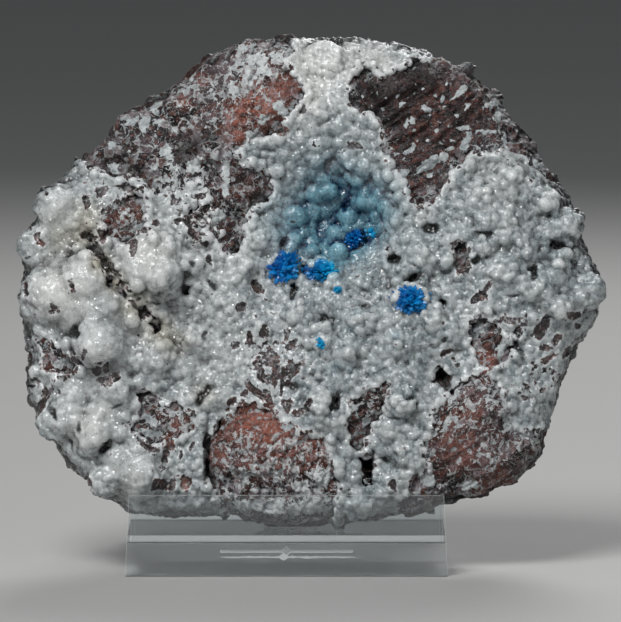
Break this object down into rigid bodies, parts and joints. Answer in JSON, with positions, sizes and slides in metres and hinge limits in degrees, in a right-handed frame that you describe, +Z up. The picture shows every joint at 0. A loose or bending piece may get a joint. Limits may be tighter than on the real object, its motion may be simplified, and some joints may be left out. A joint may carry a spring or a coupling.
{
  "type": "cavansite mineral specimen on a display easel",
  "caption": "Brown basalt slab with a pale botryoidal zeolite crust and bright blue cavansite crystal balls, leaning in a clear acrylic easel.",
  "frame": {"origin": "on the table, under the middle of the whole object's box", "axes": "+Z up, +X across the face to the right as the viewer faces the crystals, the crusted face looks along -Y"},
  "size_m": [0.163, 0.087, 0.1454],
  "materials": {
    "basalt": "rough broken",
    "zeolite": "sparkling drusy",
    "cavansite": "vitreous",
    "acrylic": "clear polished"
  },
  "bodies": {
    "root": {"basalt_matrix": "basalt", "zeolite_crust": "zeolite", "cavansite_spray_left": "cavansite", "cavansite_spray_centre": "cavansite", "cavansite_spray_recess": "cavansite", "cavansite_spray_right": "cavansite", "cavansite_tuft_upper": "cavansite", "cavansite_tuft_middle": "cavansite", "cavansite_tuft_lower": "cavansite", "acrylic_stand": "acrylic"}
  },
  "joints": []
}
